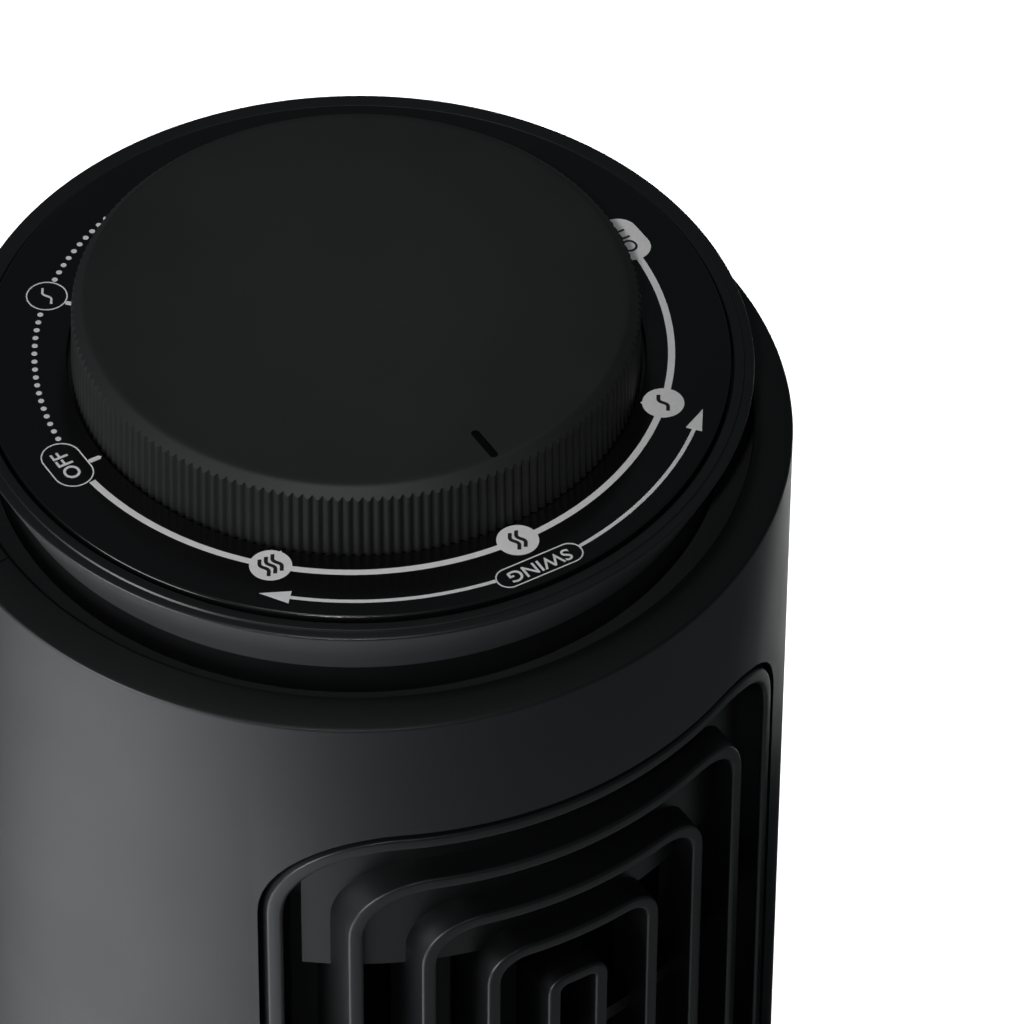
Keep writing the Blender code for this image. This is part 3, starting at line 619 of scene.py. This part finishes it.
def make_legend():
    light = bmesh.new()
    dark = bmesh.new()
    off_length, off_width, outline_width = 0.0112, 0.0070, 0.00024
    disc_gap = math.degrees(LABEL_R / LABEL_RING_R)
    pill_gap = math.degrees(off_length / 2 / LABEL_RING_R)

    add_print(light, arc_band(LABEL_RING_R, 0.0012, -180 + pill_gap, 0, centre=LABEL_RING_SHIFT), 0)
    for angle, waves in ((-45, 1), (-90, 2), (-135, 3)):
        centre = label_spot(angle)
        add_print(light, arc(centre, (LABEL_R, LABEL_R), 0, 352, 44), 1)
        add_waves(dark, centre, waves, 2, 0.00066)
    add_print(light, pill(label_spot(0), off_length, off_width, 90), 1)
    for angle, waves in ((135, 1), (90, 2), (45, 3)):
        centre = label_spot(angle)
        add_ring_print(light, arc(centre, (LABEL_R, LABEL_R), 0, 352, 44),
                       arc(centre, (LABEL_R - outline_width,) * 2, 0, 352, 44), 1)
        add_waves(light, centre, waves, 1, 0.00040)
    off_centre = label_spot(180, 0.0014)
    add_ring_print(light, pill(off_centre, off_length, off_width, 90),
                   pill(off_centre, off_length - 2 * outline_width, off_width - 2 * outline_width, 90), 1)

    stops = [pill_gap, 45, 90, 135, 180 - pill_gap]
    dot_pitch, dot_r = math.degrees(0.00195 / LABEL_RING_R), 0.00052
    for number in range(4):
        start = stops[number] + (disc_gap if number else 0.0) + dot_pitch * 0.6
        end = stops[number + 1] - (disc_gap if number < 3 else 0.0) - dot_pitch * 0.4
        count = int((end - start) / dot_pitch) + 1
        for i in range(count):
            spot = label_spot(start + (end - start) * i / max(1, count - 1))
            add_print(light, arc(spot, (dot_r, dot_r), 0, 330, 11), 0)
    for angle in range(-135, 181, 45):
        label = off_centre if angle == 180 else label_spot(angle)
        reach = label.length - (LABEL_R - 0.0003) - TICK_FOOT_R
        if reach > 0.0003:
            middle = polar(TICK_FOOT_R + reach / 2, angle)
            add_print(light, pill(middle, reach, min(reach, 0.0009), angle, 2), 0)

    swing_half, swing_width = 7.8, 0.0047
    line_end, head_base, head_tip, head_half = 41.4, 40.9, 45.9, 0.00145
    for side in (-1, 1):
        low, high = sorted((-90 + side * swing_half, -90 + side * line_end))
        add_print(light, arc_band(SWING_RING_R, 0.0007, low, high, 60), 0)
        base, tip = -90 + side * head_base, -90 + side * head_tip
        head = [polar(SWING_RING_R - head_half, base), polar(SWING_RING_R + head_half, base),
                polar(SWING_RING_R + 0.0002, tip)]
        add_print(light, [tuple(p) for p in head], 1)
    swing_centre = polar(SWING_RING_R, -90)
    length = 2 * math.radians(swing_half) * SWING_RING_R
    add_ring_print(light, pill(swing_centre, length, swing_width, 0),
                   pill(swing_centre, length - 2 * outline_width, swing_width - 2 * outline_width, 0), 1)
    finish("legend_lines", light, LIGHT_INK, "tower")
    finish("legend_waves", dark, DARK_INK, "tower")
    make_words("legend_off_plain", "OFF", off_centre, 90, 0.0040, LIGHT_INK, 1)
    make_words("legend_off_swing", "OFF", label_spot(0), 90, 0.0040, DARK_INK, 2)
    make_words("legend_swing", "SWING", swing_centre, 180, 0.0037, LIGHT_INK, 1)


# ---------------------------------------------------------------- base and inner parts

def make_base():
    wall = 0.0025
    inner_r = BASE_R - wall
    outer = arc((SHOULDER_R, SKIRT_TOP), (BASE_R - SHOULDER_R, BASE_TOP - SKIRT_TOP), 0, 90, 24)
    inner = arc((SHOULDER_R - wall, SKIRT_TOP - 0.001), (inner_r - SHOULDER_R + wall,
                BASE_TOP - wall - SKIRT_TOP + 0.001), 90, 0, 16)
    profile = (fillet((BASE_R - 0.0007, BASE_BOTTOM + 0.0007), 0.0007, 270, 360) + outer
               + [(0.0118, BASE_TOP), (0.0118, 0.0205), (0.0143, 0.0205), (0.0143, BASE_TOP - wall)]
               + inner + [(inner_r, BASE_BOTTOM)])
    shell = turned("base_housing", profile, CASING, "base", "charcoal_plastic", "base_shell", steps=240)
    cut = bmesh.new()
    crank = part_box("crank_shaft")
    middle = (crank[0] + crank[1]) / 2
    add_prism(cut, arc((middle.x, middle.y), (0.0050, 0.0050), 0, 350, 35), (0.0, 0.0, 0.010),
              lambda a, b: (a, b, BASE_TOP - 0.005))
    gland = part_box("cord_gland")
    gland_z = (gland[0].z + gland[1].z) / 2
    add_prism(cut, arc((0.0, gland_z), (0.0041, 0.0041), 0, 350, 35), (0.0, 0.02, 0.0),
              lambda a, b: (a, BASE_R - 0.01, b))
    cut_away(shell, cut)


FINISHES = {
    STEEL: ("base_ballast", "swing_motor", "crank_shaft", "crank_roller", "swing_retainer_ring", "fan_motor",
            "blower_shaft", "switch_shaft"),
    ZINC: tuple(f"{kind}_screw_{n}" for kind in ("base", "casing") for n in range(1, 5)),
    RUBBER: ("cord_gland", "bearing_bush") + tuple(f"rubber_foot_{n}" for n in range(1, 5)),
    SLIDE: ("turntable_slide_ring",),
    CAPACITOR: ("run_capacitor",),
    SLEEVE: ("wiring_harness",),
}


def finish_cad_nodes():
    """Every node that still shows gets its material. What isn't listed is black moulding."""
    chosen = {node: material for material, nodes in FINISHES.items() for node in nodes}
    for name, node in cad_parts.items():
        node.data.materials.clear()
        node.data.materials.append(chosen.get(name, INNER))


# ---------------------------------------------------------------- studio

CAMERA_DISTANCE = 1.1151
CAMERA_RISE = 1.0579
CAMERA_AZIMUTH = -30.0
CAMERA_YAW = 1.375
CAMERA_PITCH = 44.087
CAMERA_ROLL = 0.407
CAMERA_LENS = 314.2


def studio_point(right, away, height):
    """A point given as the camera sees the room: to its right, and away from it, past the fan."""
    turn = Matrix.Rotation(math.radians(CAMERA_AZIMUTH), 3, "Z")
    return turn @ Vector((right, away, height))


def make_camera():
    data = bpy.data.cameras.new("camera")
    data.lens = CAMERA_LENS
    data.sensor_width = 36.0
    data.clip_start = 0.05
    camera = bpy.data.objects.new("camera", data)
    bpy.context.collection.objects.link(camera)
    place = Matrix.Translation(studio_point(0.0, -CAMERA_DISTANCE, CASING_TOP + CAMERA_RISE))
    heading = Matrix.Rotation(math.radians(CAMERA_AZIMUTH - CAMERA_YAW), 4, "Z")
    tilt = Matrix.Rotation(math.radians(90 - CAMERA_PITCH), 4, "X")
    roll = Matrix.Rotation(math.radians(CAMERA_ROLL), 4, "Z")
    camera.matrix_world = place @ heading @ tilt @ roll
    bpy.context.scene.camera = camera


def add_lamp(name, kind, place, aim, power, colour=(1.0, 1.0, 1.0)):
    """A lamp at a studio point, turned to face another. It lights the set but isn't seen itself."""
    data = bpy.data.lights.new(name, kind)
    data.energy = power
    data.color = colour
    lamp = bpy.data.objects.new(name, data)
    bpy.context.collection.objects.link(lamp)
    lamp.location = studio_point(*place)
    lamp.rotation_euler = (studio_point(*aim) - lamp.location).to_track_quat("-Z", "Y").to_euler()
    lamp.visible_camera = False
    return data


def add_softbox(name, place, aim, size, power, colour=(1.0, 1.0, 1.0)):
    data = add_lamp(name, "AREA", place, aim, power, colour)
    data.shape = "RECTANGLE"
    data.size, data.size_y = size


def add_spot(name, place, aim, power, cone, blend, softness, colour=(1.0, 1.0, 1.0)):
    data = add_lamp(name, "SPOT", place, aim, power, colour)
    data.spot_size = math.radians(cone)
    data.spot_blend = blend
    data.shadow_soft_size = softness


def make_flag():
    """A dark card on the fan's right, which keeps the lit floor out of the casing's reflections."""
    right, near, far, high = 0.105, -0.03, 0.15, 0.235
    card = bmesh.new()
    corners = [studio_point(right, away, height)
               for away, height in ((near, 0.0), (far, 0.0), (far, high), (near, high))]
    card.faces.new([card.verts.new(corner) for corner in corners])
    flag = finish("studio_flag", card, FLAG, None)
    flag.visible_camera = False


def make_studio():
    bm = bmesh.new()
    bmesh.ops.create_grid(bm, x_segments=8, y_segments=8, size=3.0)
    floor = finish("studio_floor", bm, paper_floor(), None)
    make_flag()
    world = bpy.data.worlds.new("studio_world")
    world.use_nodes = True
    background = world.node_tree.nodes["Background"]
    background.inputs["Color"].default_value = (0.86, 0.96, 1.0, 1.0)
    background.inputs["Strength"].default_value = 0.07
    bpy.context.scene.world = world
    daylight = (0.955, 0.978, 1.0)
    add_softbox("key_left", (-0.72, -0.48, 0.42), (-0.12, -0.14, 0.25), (0.45, 0.40), 4.6, daylight)
    add_spot("left_pool", (-0.36, -0.25, 1.30), (-0.36, -0.25, 0.0), 148.0, 33, 1.0, 0.05, daylight)
    add_spot("floor_glow", (0.055, 0.45, 1.60), (0.055, 0.39, 0.0), 165.0, 20, 0.45, 0.03)
    add_spot("top_spot", (-0.15, 0.10, 1.90), (0.0, 0.0, 0.36), 14.0, 11, 0.8, 0.12)
    add_spot("dial_front", (-0.12, -0.95, 1.30), (0.0, 0.01, 0.37), 44.0, 7.2, 0.6, 0.06)
    bpy.context.scene.view_settings.view_transform = "Standard"


make_camera()
make_front_casing()
make_rear_casing()
make_grille()
make_top_cap()
make_panel()
make_knob()
make_legend()
make_base()
finish_cad_nodes()
make_studio()
